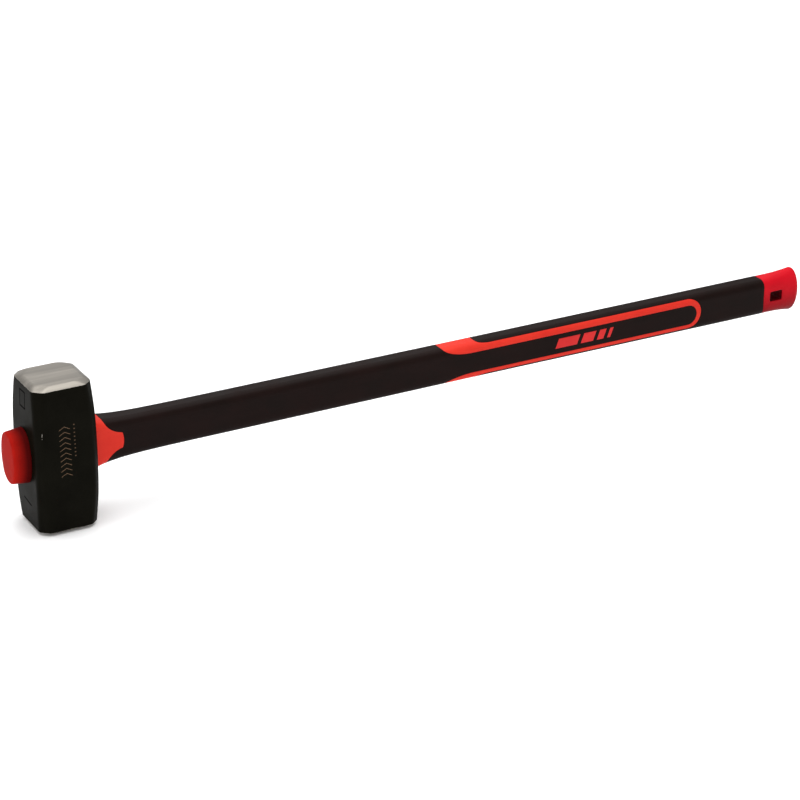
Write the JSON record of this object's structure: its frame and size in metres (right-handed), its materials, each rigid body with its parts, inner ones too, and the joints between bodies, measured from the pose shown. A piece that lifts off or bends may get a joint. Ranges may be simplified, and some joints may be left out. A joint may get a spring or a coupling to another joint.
{
  "type": "sledge hammer",
  "caption": "Double-faced sledge hammer: square barrel-sided black head with ground faces, red eye plug, two-material handle with a raised loop, flared end cap with a hanging hole.",
  "frame": {"origin": "centre of the lower striking face", "axes": "+Z along the striking axis from the lower face to the upper one, +X along the handle from the head to the hand end, +Y across the handle"},
  "size_m": [0.898, 0.068, 0.15],
  "materials": {
    "head_paint": "satin black paint on forged steel, the two striking faces ground bare",
    "resin": "cast resin",
    "plug_red": "satin moulded",
    "glass_fibre": "pultruded glass fibre",
    "jacket_red": "satin moulded",
    "dark_overmould": "soft satin overmould",
    "mark_red": "satin moulded",
    "cap_crimson": "semi-gloss moulded"
  },
  "bodies": {
    "root": {"hammer_head": "head_paint", "eye_bond": "resin", "front_plug": "plug_red", "fibreglass_core": "glass_fibre", "handle_jacket": "jacket_red", "shaft_sleeve": "dark_overmould", "rear_grip": "dark_overmould", "left_grip_mark": "mark_red", "right_grip_mark": "mark_red", "end_cap": "cap_crimson"}
  },
  "joints": []
}
